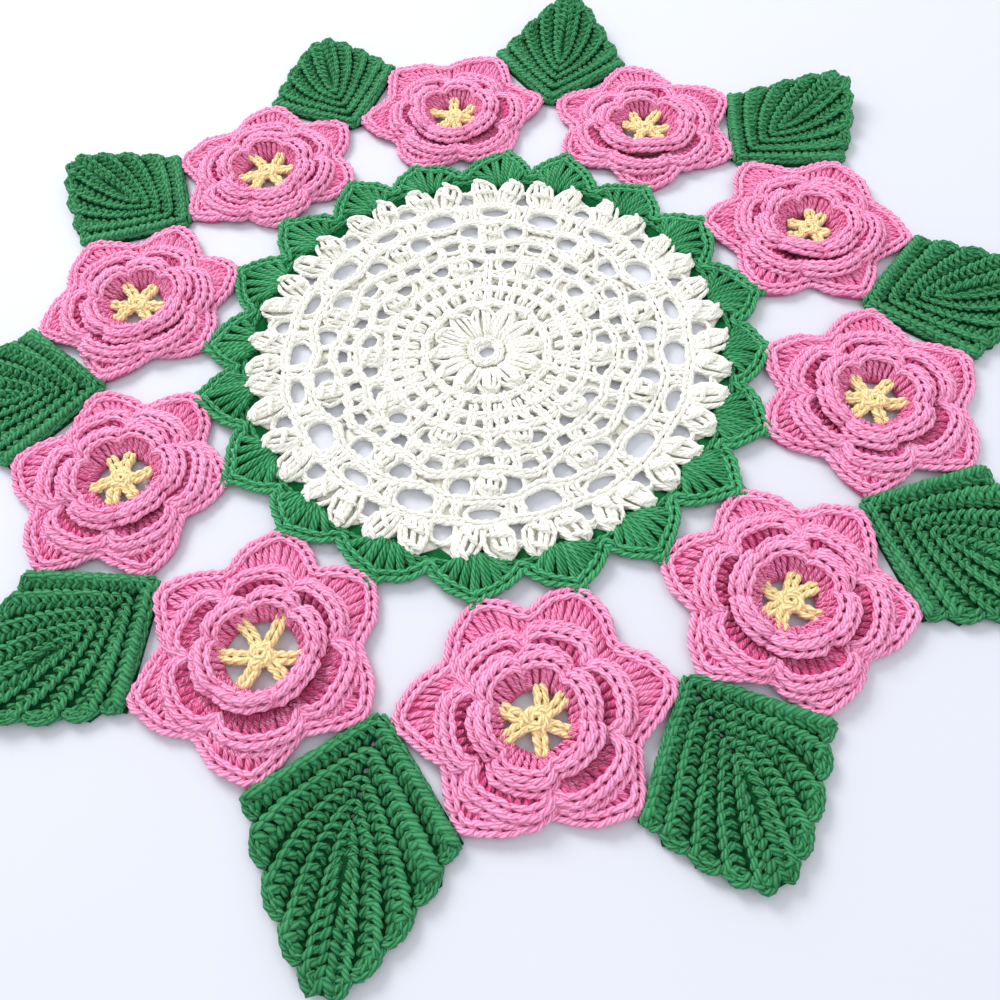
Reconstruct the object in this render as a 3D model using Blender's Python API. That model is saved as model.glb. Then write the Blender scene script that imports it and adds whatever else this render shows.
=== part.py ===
"""A round crochet doily, about 350 mm across, lying flat.

A white openwork medallion has a green edging of shells. Ten three-tier roses are joined to the tips of the
shells, each round a yellow six-armed star, and a ribbed green leaf fills the outer gap between two roses.

Lengths are in millimetres and angles in degrees, counter-clockwise from +X. Meshes are scaled to metres.
"""

import math
import random

import bpy
from mathutils import Vector
from mathutils.geometry import delaunay_2d_cdt

METRES = 0.001
GAP = 0.3  # between neighbouring pieces
CDT_EPSILON = 1e-5

# Thickness of the crochet
LACE_TOP = 2.0
LACE_EDGE_TOP = 1.7
CLUSTER_RISE = 1.8
SHELL_TOP = 1.8
SHELL_CROWN = 3.0
STAR_TOP = 2.0
STAR_CROWN = 3.0
LEAF_TROUGH = 1.7
LEAF_RIDGE = 3.6

# Medallion. The inner rounds sit a little off the middle of the rim.
RIM_TIP_RADIUS = 75.2
RIM_NOTCH_RADIUS = 71.0
CLUSTER_SPREAD = 5.3  # of each outer cluster's tip from the middle of its pair
INNER_SHIFT = Vector((-0.3, -2.0))
EYE_RADIUS = 2.3
EYE_CORNERS = 8
HOLE_CORNERS = 7
WOBBLE = 0.35  # how far a hole strays from its place

# One row for each spoke: cluster is the angle of its cluster, which lies in the inner round on the first,
# third and so on, and in the outer round on the rest; shell and reach place the tip of its green shell.
SPOKES = [
    dict(cluster=-77.6, shell=-76.9, reach=87.6),
    dict(cluster=-60.4, shell=-61.2, reach=89.3),
    dict(cluster=-45.5, shell=-41.5, reach=90.0),
    dict(cluster=-24.8, shell=-26.6, reach=88.9),
    dict(cluster=-9.9, shell=-6.4, reach=86.9),
    dict(cluster=10.8, shell=9.1, reach=89.6),
    dict(cluster=23.4, shell=31.7, reach=90.4),
    dict(cluster=46.4, shell=47.6, reach=88.5),
    dict(cluster=65.3, shell=68.4, reach=92.0),
    dict(cluster=85.2, shell=82.0, reach=91.6),
    dict(cluster=100.7, shell=103.4, reach=88.4),
    dict(cluster=122.0, shell=118.7, reach=90.7),
    dict(cluster=142.7, shell=137.3, reach=91.7),
    dict(cluster=160.5, shell=153.3, reach=91.2),
    dict(cluster=179.6, shell=174.2, reach=89.6),
    dict(cluster=195.1, shell=187.3, reach=90.6),
    dict(cluster=210.5, shell=208.4, reach=89.0),
    dict(cluster=230.4, shell=225.0, reach=86.3),
    dict(cluster=246.5, shell=245.4, reach=85.8),
    dict(cluster=267.5, shell=264.5, reach=87.6),
]

# Gaps of the lace: on which spokes, how far round from the spoke to the next one, and their size.
GAPS = [
    dict(spokes="inner", share=0.5, radius=37.5, width=4.8, depth=5.2),
    dict(spokes="outer", share=0.5, radius=37.5, width=4.8, depth=5.2),
    dict(spokes="outer", share=0.0, radius=42.0, width=7.6, depth=4.8),
    dict(spokes="inner", share=0.0, radius=45.8, width=6.6, depth=3.6),
    dict(spokes="inner", share=0.54, radius=51.6, width=6.6, depth=6.8),
    dict(spokes="outer", share=0.46, radius=51.6, width=6.6, depth=6.8),
    dict(spokes="outer", share=0.0, radius=60.6, width=8.6, depth=4.8),
    dict(spokes="inner", share=0.0, radius=58.6, width=10.0, depth=8.0),
]
BETWEEN_PAIRS = dict(radius=66.4, width=4.2, depth=4.6)

# Clusters of the lace: how many, where they start and end, and how wide they are.
CENTRE_CLUSTERS = dict(count=12, start=6.6, end=17.6, width=3.6)
INNER_CLUSTERS = dict(start=30.2, end=38.6, width=6.2)
OUTER_CLUSTERS = dict(start=46.2, end=54.6, width=6.6)
PAIR_CLUSTERS = dict(start=63.4, end=73.6, width=4.6, foot_spread=1.9)
# Rings on which the lace is flat between the clusters: radius and number of points
FLAT_RINGS = [dict(radius=19.6, count=20), dict(radius=27.0, count=20)]
# A cluster's crest and the sides of its base: shares of its length, of CLUSTER_RISE and of its half width
PUFF = [
    dict(along=0.10, rise=0.5, swell=0.6),
    dict(along=0.50, rise=1.0, swell=1.0),
    dict(along=0.88, rise=0.8, swell=0.8),
]

# Shells of the edging, each from its middle outwards: share of the way to the valley, and of the reach
SHELL_VALLEY_RADIUS = 79.4
SHELL_SHOULDERS = [
    dict(across=0.40, outwards=0.60),
    dict(across=0.78, outwards=0.28),
]

# Roses, each between two shells
ROSES = [
    dict(angle=92.7, radius=116.2, first_shell=9, lift=4.0, turn=4),
    dict(angle=57.2, radius=118.6, first_shell=7, lift=4.0, turn=-5),
    dict(angle=20.8, radius=118.6, first_shell=5, lift=2.0, turn=8),
    dict(angle=-15.5, radius=117.2, first_shell=3, lift=1.0, turn=-3),
    dict(angle=-51.3, radius=118.2, first_shell=1, lift=1.0, turn=6),
    dict(angle=-87.5, radius=118.2, first_shell=19, lift=1.0, turn=-6),
    dict(angle=236.4, radius=116.6, first_shell=17, lift=1.0, turn=2),
    dict(angle=199.4, radius=115.6, first_shell=15, lift=1.0, turn=-8),
    dict(angle=164.4, radius=118.0, first_shell=13, lift=2.0, turn=5),
    dict(angle=128.8, radius=119.2, first_shell=11, lift=4.0, turn=0),
]
EYELET_RADIUS = 9.7
VALLEY_SHARE = 0.745  # of the petals' reach
FREE_SHOULDER = 0.915
LEAF_SHOULDER = 0.865
PETAL_FULLNESS = (1.0, 0.72, 0.0)  # at the tip, at a shoulder and in a valley
INNER_TIER = dict(radius=14.8, swell=2.7, height=5.2, rise=4.0, wall=2.2)
MIDDLE_TIER = dict(radius=19.6, swell=3.6, height=4.2, rise=3.0, wall=2.2)
CREVICES = (3.4, 2.2)
OUTER_TIER = dict(top=2.6, edge=1.5, wall=1.8)
FLAT_UNDER = 22.0  # radius of the part of a rose that lies flat
TIER_UNEVENNESS = 0.5

# Stars
STAR_REACH = 9.25
STAR_HUB_RADIUS = 3.5
STAR_ARM_WIDTH = 3.0
STAR_ARMS = 6
STAR_UNEVENNESS = 7

# Leaves, each left of the rose of the same row, seen from the middle: left is counter-clockwise. left and
# right are half widths, lean is how far the tip stands to the left, and curl how far it lifts.
LEAVES = [
    dict(angle=110.9, vertex=121.4, length=52, left=25.0, right=26.5, lean=-5.0, curl=6),
    dict(angle=75.2, vertex=122.4, length=56, left=26.0, right=25.5, lean=1.0, curl=8),
    dict(angle=39.2, vertex=122.0, length=57, left=26.0, right=27.5, lean=-1.0, curl=6),
    dict(angle=2.6, vertex=121.4, length=54, left=26.5, right=27.0, lean=2.0, curl=3),
    dict(angle=-33.4, vertex=121.0, length=56, left=27.5, right=26.5, lean=-2.0, curl=2),
    dict(angle=-68.6, vertex=121.2, length=51, left=26.7, right=28.6, lean=-7.0, curl=1),
    dict(angle=253.9, vertex=121.4, length=62, left=27.3, right=28.0, lean=5.0, curl=1),
    dict(angle=217.6, vertex=120.6, length=55, left=27.0, right=27.0, lean=-1.0, curl=2),
    dict(angle=182.0, vertex=121.0, length=55, left=26.5, right=27.0, lean=1.0, curl=3),
    dict(angle=146.5, vertex=122.0, length=55, left=26.5, right=26.0, lean=-3.0, curl=4),
]
CORNER_ALONG = 24.6  # of a leaf's side corners from its inner corner
VERTEX_HALF_WIDTH = 2.6
SIDE_TIP_AT = 0.03  # where a rose's side tip and outer tip meet the leaf's straight side
OUTER_TIP_AT = 0.92
# The leaf's stepped edge: shares of the way from its side corner to its tip, and of the half width
STEPS = [
    dict(beyond=0.00, across=1.00),
    dict(beyond=0.12, across=0.84),
    dict(beyond=0.27, across=0.85),
    dict(beyond=0.39, across=0.62),
    dict(beyond=0.55, across=0.63),
    dict(beyond=0.65, across=0.39),
    dict(beyond=0.80, across=0.39),
    dict(beyond=0.87, across=0.18),
    dict(beyond=0.99, across=0.13),
]
# Ribs: fold is a share of the leaf's length, and the rest as above. round_off bends the arms.
RIBS = [
    dict(fold=0.055, beyond=0.03, across=0.93, round_off=0.05),
    dict(fold=0.165, beyond=0.23, across=0.78, round_off=0.22),
    dict(fold=0.265, beyond=0.50, across=0.56, round_off=0.42),
    dict(fold=0.350, beyond=0.74, across=0.33, round_off=0.66),
    dict(fold=0.430, beyond=0.92, across=0.12, round_off=0.85),
]
TROUGH_SETBACK = 0.03  # of the troughs' ends from the stepped edge
RIB_POINTS = 4  # on each arm, with the fold

WHITE = (0.86, 0.84, 0.76)
EDGING_GREEN = (0.03, 0.33, 0.10)
LEAF_GREEN = (0.02, 0.26, 0.09)
PINK = (0.86, 0.17, 0.36)
YELLOW = (0.90, 0.72, 0.34)


def clear_scene():
    for thing in list(bpy.data.objects):
        bpy.data.objects.remove(thing, do_unlink=True)


def yarn(name, colour):
    material = bpy.data.materials.new(name)
    material.use_nodes = True
    shader = material.node_tree.nodes["Principled BSDF"]
    shader.inputs["Base Color"].default_value = (*colour, 1)
    shader.inputs["Roughness"].default_value = 0.85
    shader.inputs["Metallic"].default_value = 0
    material.diffuse_color = (*colour, 1)
    return material


def polar(radius, angle):
    return Vector((radius * math.cos(math.radians(angle)), radius * math.sin(math.radians(angle))))


def middle_angle(first, second, share=0.5):
    """The angle at this share of the way from the first to the second, counter-clockwise."""
    return first + ((second - first) % 360) * share


def raised(point, height):
    return (point[0], point[1], height)


def inside(point, loop):
    """Whether a point is inside a closed loop, by the number of its sides on one side of the point."""
    crossings = False
    for (ax, ay, _), (bx, by, _) in zip(loop, loop[1:] + loop[:1]):
        if (ay > point[1]) != (by > point[1]) and point[0] < (bx - ax) * (point[1] - ay) / (by - ay) + ax:
            crossings = not crossings
    return crossings


def triangulate(loops, lines=()):
    """Triangles inside the first loop and outside the others, along all the loops and lines.

    Returns the points, the triangles, and the place of each given point among the points.
    """
    given = [point for path in (*loops, *lines) for point in path]
    edges = []
    start = 0
    for number, path in enumerate((*loops, *lines)):
        count = len(path)
        closing = count if number < len(loops) else count - 1
        edges += [(start + i, start + (i + 1) % count) for i in range(closing)]
        start += count
    flat = [Vector(point[:2]) for point in given]
    found, _, faces, sources, _, _ = delaunay_2d_cdt(flat, edges, [], 0, CDT_EPSILON)
    place = {source: index for index, all_of in enumerate(sources) for source in all_of}
    points = [raised(xy, given[all_of[0]][2]) for xy, all_of in zip(found, sources)]
    centres = [(sum((found[i] for i in face), Vector((0, 0))) / 3) for face in faces]
    holes = [(loop, sum((Vector(p[:2]) for p in loop), Vector((0, 0))) / len(loop)) for loop in loops[1:]]
    sized = [(loop, middle, max((Vector(p[:2]) - middle).length for p in loop)) for loop, middle in holes]
    kept = []
    for face, centre in zip(faces, centres):
        in_hole = any(
            (centre - middle).length < size and inside(centre, loop) for loop, middle, size in sized
        )
        if inside(centre, loops[0]) and not in_hole:
            kept.append(tuple(face))
    return points, kept, [place[i] for i in range(len(given))]


def slab(loops, lines=(), lift=None):
    """A sheet with a flat underside: its loops and lines are of (x, y, top). lift raises both faces."""
    lift = lift or (lambda x, y: 0.0)
    top, top_faces, top_place = triangulate(loops, lines)
    under, under_faces, under_place = triangulate(loops)
    points = [(x, y, z + lift(x, y)) for x, y, z in top] + [(x, y, lift(x, y)) for x, y, _ in under]
    shift = len(top)
    faces = top_faces + [tuple(shift + i for i in reversed(face)) for face in under_faces]
    start = 0
    for loop in loops:
        count = len(loop)
        for i in range(count):
            a = start + i
            b = start + (i + 1) % count
            wall = (top_place[a], shift + under_place[a], shift + under_place[b], top_place[b])
            faces.append(wall if loop is loops[0] else wall[::-1])
        start += count
    return points, faces


def add_piece(name, points, faces, material, parent, at=(0, 0)):
    mesh = bpy.data.meshes.new(name)
    local = [((x - at[0]) * METRES, (y - at[1]) * METRES, z * METRES) for x, y, z in points]
    mesh.from_pydata(local, [], faces)
    mesh.materials.append(material)
    mesh.validate()
    piece = bpy.data.objects.new(name, mesh)
    piece.location = (at[0] * METRES, at[1] * METRES, 0)
    piece.parent = parent
    bpy.context.scene.collection.objects.link(piece)
    return piece


# ---------------------------------------------------------------- medallion and edging


def pair_angle(spoke):
    """The middle of the spoke's pair of outer clusters, between its cluster and its shell."""
    turn = (spoke["shell"] - spoke["cluster"] + 180) % 360 - 180
    return spoke["cluster"] + turn / 2


def lace_place(radius, angle):
    return polar(radius, angle) + INNER_SHIFT * (1 - radius / RIM_TIP_RADIUS)


def rim_loop(outset, top):
    """The line on which the white clusters end and the green edging starts."""
    loop = []
    for number, spoke in enumerate(SPOKES):
        middle = pair_angle(spoke)
        following = pair_angle(SPOKES[(number + 1) % len(SPOKES)])
        outline = [
            (middle - CLUSTER_SPREAD - 0.8, RIM_TIP_RADIUS - 0.6),
            (middle - CLUSTER_SPREAD + 0.8, RIM_TIP_RADIUS),
            (middle, RIM_NOTCH_RADIUS),
            (middle + CLUSTER_SPREAD - 0.8, RIM_TIP_RADIUS),
            (middle + CLUSTER_SPREAD + 0.8, RIM_TIP_RADIUS - 0.6),
            (middle_angle(middle, following), RIM_NOTCH_RADIUS + 0.8),
        ]
        loop += [raised(polar(radius + outset, angle), top) for angle, radius in outline]
    return loop


def gap_loop(middle, width, depth, angle, corners=HOLE_CORNERS):
    """A rounded gap of this width across the radius and depth along it."""
    outwards = polar(1, angle)
    across = polar(1, angle - 90)
    loop = []
    for corner in range(corners):
        turn = 2 * math.pi * (corner + 0.5) / corners
        point = middle + across * math.cos(turn) * width / 2 + outwards * math.sin(turn) * depth / 2
        loop.append(raised(point, LACE_TOP))
    return loop


def near(point, gap):
    """Whether a point lies in a gap or within GAP of one of its corners."""
    at = Vector(point[:2])
    return inside(point, gap) or min((at - Vector(corner[:2])).length for corner in gap) < GAP


def lace_gaps(chance):
    loops = [gap_loop(INNER_SHIFT, 2 * EYE_RADIUS, 2 * EYE_RADIUS, 0, EYE_CORNERS)]
    for number, spoke in enumerate(SPOKES):
        following = SPOKES[(number + 1) % len(SPOKES)]
        kind = "outer" if number % 2 else "inner"
        for row in GAPS:
            if row["spokes"] != kind:
                continue
            # Further out the gaps lie under the pairs of clusters, further in by the clusters of the rounds.
            under_pair = row["radius"] > OUTER_CLUSTERS["end"]
            angle = pair_angle(spoke) if under_pair else spoke["cluster"]
            angle = middle_angle(angle, following["cluster"], row["share"])
            stray = Vector((chance.uniform(-WOBBLE, WOBBLE), chance.uniform(-WOBBLE, WOBBLE)))
            middle = lace_place(row["radius"], angle) + stray
            loops.append(gap_loop(middle, row["width"], row["depth"], angle))
        angle = middle_angle(pair_angle(spoke), pair_angle(following))
        middle = lace_place(BETWEEN_PAIRS["radius"], angle)
        loops.append(gap_loop(middle, BETWEEN_PAIRS["width"], BETWEEN_PAIRS["depth"], angle, 5))
    return loops


def cluster_points(foot, head, width):
    """A puff from foot to head: three points along its crest, and three along each side of its base."""
    along = head - foot
    across = Vector((-along.y, along.x)).normalized() * width / 2
    points = []
    for row in PUFF:
        middle = foot.lerp(head, row["along"])
        points.append(raised(middle, LACE_TOP + CLUSTER_RISE * row["rise"]))
        points += [raised(middle + across * side * row["swell"], LACE_TOP) for side in (-1, 1)]
    return points


def lace_clusters():
    points = []
    for ring in FLAT_RINGS:
        angles = [360 * number / ring["count"] for number in range(ring["count"])]
        points += [raised(lace_place(ring["radius"], angle), LACE_TOP) for angle in angles]
    count = CENTRE_CLUSTERS["count"]
    for number in range(count):
        angle = 360 * number / count
        foot, head = (lace_place(CENTRE_CLUSTERS[end], angle) for end in ("start", "end"))
        points += cluster_points(foot, head, CENTRE_CLUSTERS["width"])
    for number, spoke in enumerate(SPOKES):
        rounds = OUTER_CLUSTERS if number % 2 else INNER_CLUSTERS
        foot, head = (lace_place(rounds[end], spoke["cluster"]) for end in ("start", "end"))
        points += cluster_points(foot, head, rounds["width"])
        for side in (-1, 1):
            middle = pair_angle(spoke)
            foot = lace_place(PAIR_CLUSTERS["start"], middle + side * PAIR_CLUSTERS["foot_spread"])
            head = lace_place(PAIR_CLUSTERS["end"], middle + side * CLUSTER_SPREAD)
            points += cluster_points(foot, head, PAIR_CLUSTERS["width"])
    return points


def add_medallion(parent, white):
    gaps = lace_gaps(random.Random(5))
    clusters = [[point] for point in lace_clusters() if not any(near(point, gap) for gap in gaps)]
    points, faces = slab([rim_loop(0, LACE_EDGE_TOP), *gaps], clusters)
    return add_piece("medallion", points, faces, white, parent)


def shell_tip(number):
    spoke = SPOKES[number % len(SPOKES)]
    return polar(spoke["reach"], spoke["shell"])


def shell_outline(number):
    """One shell from the valley before it to its second shoulder."""
    before, spoke, after = (SPOKES[(number + step) % len(SPOKES)] for step in (-1, 0, 1))
    valleys = (
        middle_angle(before["shell"], spoke["shell"]),
        middle_angle(spoke["shell"], after["shell"]),
    )
    start, end = ((valley - spoke["shell"] + 180) % 360 - 180 for valley in valleys)
    rise = spoke["reach"] - SHELL_VALLEY_RADIUS
    outline = [(start, 0.0)]
    outline += [(start * row["across"], row["outwards"]) for row in reversed(SHELL_SHOULDERS)]
    outline.append((0.0, 1.0))
    outline += [(end * row["across"], row["outwards"]) for row in SHELL_SHOULDERS]
    return [polar(SHELL_VALLEY_RADIUS + rise * share, spoke["shell"] + turn) for turn, share in outline]


def add_edging(parent, green):
    rim = []
    crowns = []
    for number, spoke in enumerate(SPOKES):
        rim += [raised(point, SHELL_TOP) for point in shell_outline(number)]
        crown = polar(RIM_TIP_RADIUS + 6.0, spoke["shell"])
        side = polar(2.6, spoke["shell"] + 90)
        crowns.append([raised(crown + side * turn, SHELL_CROWN - 0.5 * abs(turn)) for turn in (-1, 0, 1)])
    points, faces = slab([rim, rim_loop(GAP, SHELL_TOP)], crowns)
    return add_piece("edging", points, faces, green, parent)


# ---------------------------------------------------------------- leaves


def leaf_point(leaf, along, across):
    """A point of the leaf, by its distance from the inner corner along the leaf and to the left of it."""
    beyond = max(0.0, (along - CORNER_ALONG) / (leaf["length"] - CORNER_ALONG))
    sideways = across + leaf["lean"] * beyond
    outwards = polar(1, leaf["angle"])
    return outwards * (leaf["vertex"] + along) + Vector((-outwards.y, outwards.x)) * sideways


def beyond_corner(leaf, share):
    return CORNER_ALONG + share * (leaf["length"] - CORNER_ALONG)


def half_width(leaf, side):
    return leaf["left"] if side > 0 else leaf["right"]


def leaf_side_point(leaf, side, share):
    """A point just off the leaf's straight side, where a petal's tip is joined to it."""
    corner = Vector((CORNER_ALONG, half_width(leaf, side)))
    start = Vector((0, VERTEX_HALF_WIDTH))
    along = corner - start
    off = Vector((-along.y, along.x)).normalized() * GAP
    along, across = start.lerp(corner, share) + off
    return leaf_point(leaf, along, side * across)


def rib_line(leaf, fold, beyond, across, round_off, top):
    """One rib from the end of its right arm, round the fold, to the end of its left arm."""
    length = leaf["length"]
    arms = []
    for side in (-1, 1):
        start = Vector((fold * length, 0))
        finish = Vector((beyond_corner(leaf, beyond), across * half_width(leaf, side)))
        bend = start.lerp(finish, 0.5).lerp(Vector((start.x + 0.1 * length, finish.y * 1.05)), round_off)
        arm = []
        for step in range(1, RIB_POINTS):
            t = step / (RIB_POINTS - 1)
            point = start.lerp(bend, t).lerp(bend.lerp(finish, t), t)
            arm.append(raised(leaf_point(leaf, point.x, side * point.y), top))
        arms.append(arm)
    fold_point = raised(leaf_point(leaf, fold * length, 0), top)
    return arms[0][::-1] + [fold_point] + arms[1]


def leaf_edge(leaf, side):
    """The stepped edge from the side corner to the tip."""
    half = half_width(leaf, side)
    return [leaf_point(leaf, beyond_corner(leaf, s["beyond"]), side * s["across"] * half) for s in STEPS]


def add_leaf(name, leaf, parent, green):
    length = leaf["length"]
    corners = [leaf_point(leaf, 0, side * VERTEX_HALF_WIDTH) for side in (1, -1)]
    rim = [raised(point, LEAF_TROUGH) for point in (*corners, *leaf_edge(leaf, -1), *leaf_edge(leaf, 1)[::-1])]
    lines = []
    for number, rib in enumerate(RIBS):
        lines.append(rib_line(leaf, **rib, top=LEAF_RIDGE))
        if number + 1 < len(RIBS):
            trough = {key: (rib[key] + RIBS[number + 1][key]) / 2 for key in rib}
            trough["beyond"] -= TROUGH_SETBACK
            lines.append(rib_line(leaf, **trough, top=LEAF_TROUGH))
    outwards = polar(1, leaf["angle"])

    def lift(x, y):
        along = Vector((x, y)).dot(outwards) - leaf["vertex"]
        return leaf["curl"] * max(0.0, (along - CORNER_ALONG) / (length - CORNER_ALONG)) ** 2

    points, faces = slab([rim], lines, lift)
    return add_piece(name, points, faces, green, parent, polar(leaf["vertex"], leaf["angle"]))


# ---------------------------------------------------------------- roses and stars


def petal_tips(number):
    """The six tips of a rose, counter-clockwise from the outer one next to the leaf on its left.

    Each is a point, how far it lifts, and whether the stretch to the next tip lies along a leaf.
    """
    rose = ROSES[number]
    left_leaf = LEAVES[number]
    right_leaf = LEAVES[(number + 1) % len(LEAVES)]
    shells = [shell_tip(rose["first_shell"] + step) for step in (1, 0)]
    inner = [tip + tip.normalized() * GAP for tip in shells]
    return [
        (leaf_side_point(left_leaf, -1, OUTER_TIP_AT), rose["lift"], True),
        (leaf_side_point(left_leaf, -1, SIDE_TIP_AT), rose["lift"] / 2, False),
        (inner[0], 0.0, False),
        (inner[1], 0.0, False),
        (leaf_side_point(right_leaf, 1, SIDE_TIP_AT), rose["lift"] / 2, True),
        (leaf_side_point(right_leaf, 1, OUTER_TIP_AT), rose["lift"], False),
    ]


def rose_columns(centre, tips):
    """Four columns a petal: its tip, a shoulder, the valley and the next petal's shoulder."""
    columns = []
    for number, (tip, lift, along_leaf) in enumerate(tips):
        following, next_lift, _ = tips[(number + 1) % len(tips)]
        reach, next_reach = (tip - centre).length, (following - centre).length
        angle, next_angle = (math.degrees(math.atan2(*(p - centre).yx)) for p in (tip, following))
        shoulder = LEAF_SHOULDER if along_leaf else FREE_SHOULDER
        full, part, none = PETAL_FULLNESS
        valley = VALLEY_SHARE * (reach + next_reach) / 2
        columns += [
            (middle_angle(angle, next_angle, 0.00), reach, full, lift, number),
            (middle_angle(angle, next_angle, 0.25), reach * shoulder, part, lift * 0.4, number),
            (middle_angle(angle, next_angle, 0.50), valley, none, 0.0, number),
            (middle_angle(angle, next_angle, 0.75), next_reach * shoulder, part, next_lift * 0.4, number + 1),
        ]
    return columns


def rose_profile(edge, fullness, lift, uneven):
    """Radius and height of one section, from the eyelet over the three tiers and back underneath."""
    inner = INNER_TIER["radius"] + INNER_TIER["swell"] * fullness + uneven
    middle = MIDDLE_TIER["radius"] + MIDDLE_TIER["swell"] * fullness + uneven
    inner_top = INNER_TIER["height"] + INNER_TIER["rise"] * fullness + uneven
    middle_top = MIDDLE_TIER["height"] + MIDDLE_TIER["rise"] * fullness - uneven
    return [
        (EYELET_RADIUS, 0.0),
        (EYELET_RADIUS + 0.3, STAR_TOP),
        (inner - INNER_TIER["wall"], inner_top - 0.5),
        (inner, inner_top),
        (inner + 0.2, CREVICES[0]),
        (middle - MIDDLE_TIER["wall"], middle_top - 0.4),
        (middle, middle_top),
        (middle + 0.2, CREVICES[1]),
        (edge - OUTER_TIER["wall"], OUTER_TIER["top"] + lift * 0.9),
        (edge, OUTER_TIER["edge"] + lift),
        (edge, lift),
        (FLAT_UNDER, 0.0),
    ]


def add_rose(number, parent, pink, chance):
    rose = ROSES[number]
    centre = polar(rose["radius"], rose["angle"])
    columns = rose_columns(centre, petal_tips(number))
    unevenness = [chance.uniform(-TIER_UNEVENNESS, TIER_UNEVENNESS) for _ in range(6)]
    points = []
    for angle, edge, fullness, lift, petal in columns:
        for radius, height in rose_profile(edge, fullness, lift, unevenness[petal % 6] * fullness):
            points.append(raised(centre + polar(radius, angle), height))
    around = len(columns)
    rows = len(points) // around
    faces = []
    for column in range(around):
        following = (column + 1) % around
        for row in range(rows):
            below = (row + 1) % rows
            faces.append(
                (column * rows + row, column * rows + below, following * rows + below, following * rows + row)
            )
    return add_piece(f"rose_{number + 1:02d}", points, faces, pink, parent, centre)


def add_star(number, parent, yellow, chance):
    rose = ROSES[number]
    centre = polar(rose["radius"], rose["angle"])
    rim = []
    crests = [[raised(centre, STAR_CROWN)]]
    half_arm = math.degrees(math.atan2(STAR_ARM_WIDTH / 2, STAR_REACH))
    for arm in range(STAR_ARMS):
        notch = rose["angle"] + rose["turn"] + 360 * (arm - 0.5) / STAR_ARMS
        angle = notch + 180 / STAR_ARMS + chance.uniform(-STAR_UNEVENNESS, STAR_UNEVENNESS)
        rim.append(raised(centre + polar(STAR_HUB_RADIUS, notch), STAR_TOP))
        for turn, share in ((-half_arm, 0.95), (0.0, 1.0), (half_arm, 0.95)):
            rim.append(raised(centre + polar(STAR_REACH * share, angle + turn), STAR_TOP))
        crests.append([raised(centre + polar(STAR_REACH * 0.66, angle), STAR_CROWN)])
    points, faces = slab([rim], crests)
    return add_piece(f"star_{number + 1:02d}", points, faces, yellow, parent, centre)


def centre_on_origin(parent):
    """Puts the middle of the doily's box over the origin."""
    bpy.context.view_layer.update()
    corners = [piece.matrix_world @ vertex.co for piece in parent.children for vertex in piece.data.vertices]
    for axis in (0, 1):
        values = [corner[axis] for corner in corners]
        parent.location[axis] = -(min(values) + max(values)) / 2


def build_doily():
    doily = bpy.data.objects.new("doily", None)
    bpy.context.scene.collection.objects.link(doily)
    white = yarn("white cotton", WHITE)
    edging_green = yarn("green edging cotton", EDGING_GREEN)
    leaf_green = yarn("green leaf cotton", LEAF_GREEN)
    pink = yarn("pink cotton", PINK)
    yellow = yarn("yellow cotton", YELLOW)
    add_medallion(doily, white)
    add_edging(doily, edging_green)
    chance = random.Random(11)
    for number in range(len(ROSES)):
        add_rose(number, doily, pink, chance)
        add_star(number, doily, yellow, chance)
        add_leaf(f"leaf_{number + 1:02d}", LEAVES[number], doily, leaf_green)
    centre_on_origin(doily)


clear_scene()
build_doily()
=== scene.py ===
"""The crochet doily of the frame, worked in yarn, on a pale floor in soft light.

Every motif is a thin cloth with strands of yarn laid on it: chains of V-shaped loops along its edges, posts
between its foot and its edge, and puffs of long loops. Lengths are in millimetres and angles in degrees,
counter-clockwise from +X round the middle of the medallion's rim, until a mesh is made in metres.
"""

import math

import bmesh
import bpy
import numpy as np
from mathutils import Matrix, Vector


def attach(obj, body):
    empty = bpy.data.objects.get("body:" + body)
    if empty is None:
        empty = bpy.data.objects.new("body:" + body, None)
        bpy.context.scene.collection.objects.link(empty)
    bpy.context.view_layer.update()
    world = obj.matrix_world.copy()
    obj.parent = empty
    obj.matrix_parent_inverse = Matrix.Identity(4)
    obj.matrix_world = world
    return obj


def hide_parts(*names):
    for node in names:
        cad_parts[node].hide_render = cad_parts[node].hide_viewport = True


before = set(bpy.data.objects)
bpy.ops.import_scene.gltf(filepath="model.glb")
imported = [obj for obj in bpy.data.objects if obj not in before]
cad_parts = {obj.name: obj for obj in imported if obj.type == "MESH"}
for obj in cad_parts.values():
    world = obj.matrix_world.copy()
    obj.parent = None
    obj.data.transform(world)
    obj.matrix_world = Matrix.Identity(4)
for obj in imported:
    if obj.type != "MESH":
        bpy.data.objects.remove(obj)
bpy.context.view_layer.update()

METRES = 0.001
SEED = 7
WELD = 0.01
MIDDLE = np.array((0.341, 2.455, 0.0))  # of the medallion's rim, from the middle of the doily's box

# ---------------------------------------------------------------- sizes, as in the CAD

RIM_RADIUS = 75.2
LACE_SHIFT = np.array((-0.3, -2.0, 0.0))  # of the lace's eye from the middle of the rim
CLUSTER_SPREAD = 5.3

# Angles of each spoke's cluster and of the tip of its green shell
SPOKES = [
    dict(cluster=cluster, shell=shell)
    for cluster, shell in (
        *((-77.6, -76.9), (-60.4, -61.2), (-45.5, -41.5), (-24.8, -26.6), (-9.9, -6.4)),
        *((10.8, 9.1), (23.4, 31.7), (46.4, 47.6), (65.3, 68.4), (85.2, 82.0)),
        *((100.7, 103.4), (122.0, 118.7), (142.7, 137.3), (160.5, 153.3), (179.6, 174.2)),
        *((195.1, 187.3), (210.5, 208.4), (230.4, 225.0), (246.5, 245.4), (267.5, 264.5)),
    )
]

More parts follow.
